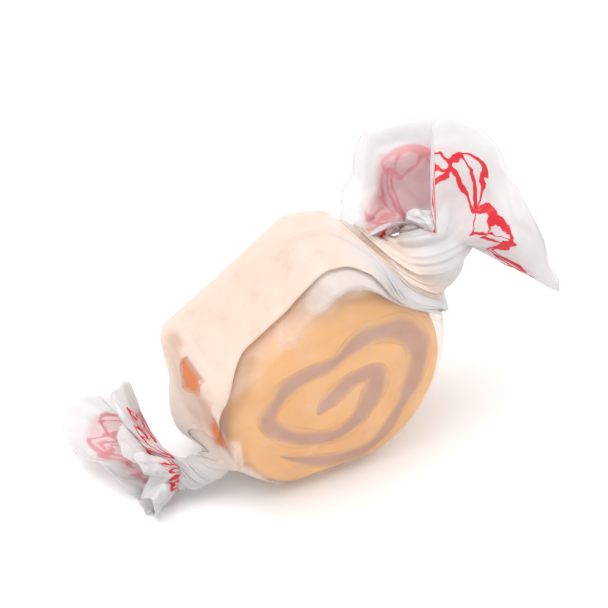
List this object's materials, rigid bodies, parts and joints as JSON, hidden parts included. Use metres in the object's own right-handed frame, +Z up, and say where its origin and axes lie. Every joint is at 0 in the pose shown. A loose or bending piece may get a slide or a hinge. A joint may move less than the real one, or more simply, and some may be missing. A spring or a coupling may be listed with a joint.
{
  "type": "wrapped salt water taffy",
  "caption": "Short log of pulled taffy with a brown spiral on its cut faces, wound in translucent waxed paper that is twisted shut at both ends into fans.",
  "frame": {"origin": "middle of the small flat spot that the wrapped candy rests on, at floor height", "axes": "+X along the candy from its low twisted end to its raised one, -Y out of the front cut face, +Z up"},
  "size_m": [0.0489, 0.0209, 0.0342],
  "materials": {
    "taffy": "satin, slightly waxy pulled sugar",
    "swirl": "satin, slightly waxy pulled sugar",
    "wrapper": "translucent waxed paper, clear where it clings to the candy, with a red print near the cut edges"
  },
  "bodies": {
    "root": {"taffy": "taffy", "swirl": "swirl", "wrapper": "wrapper"}
  },
  "joints": []
}
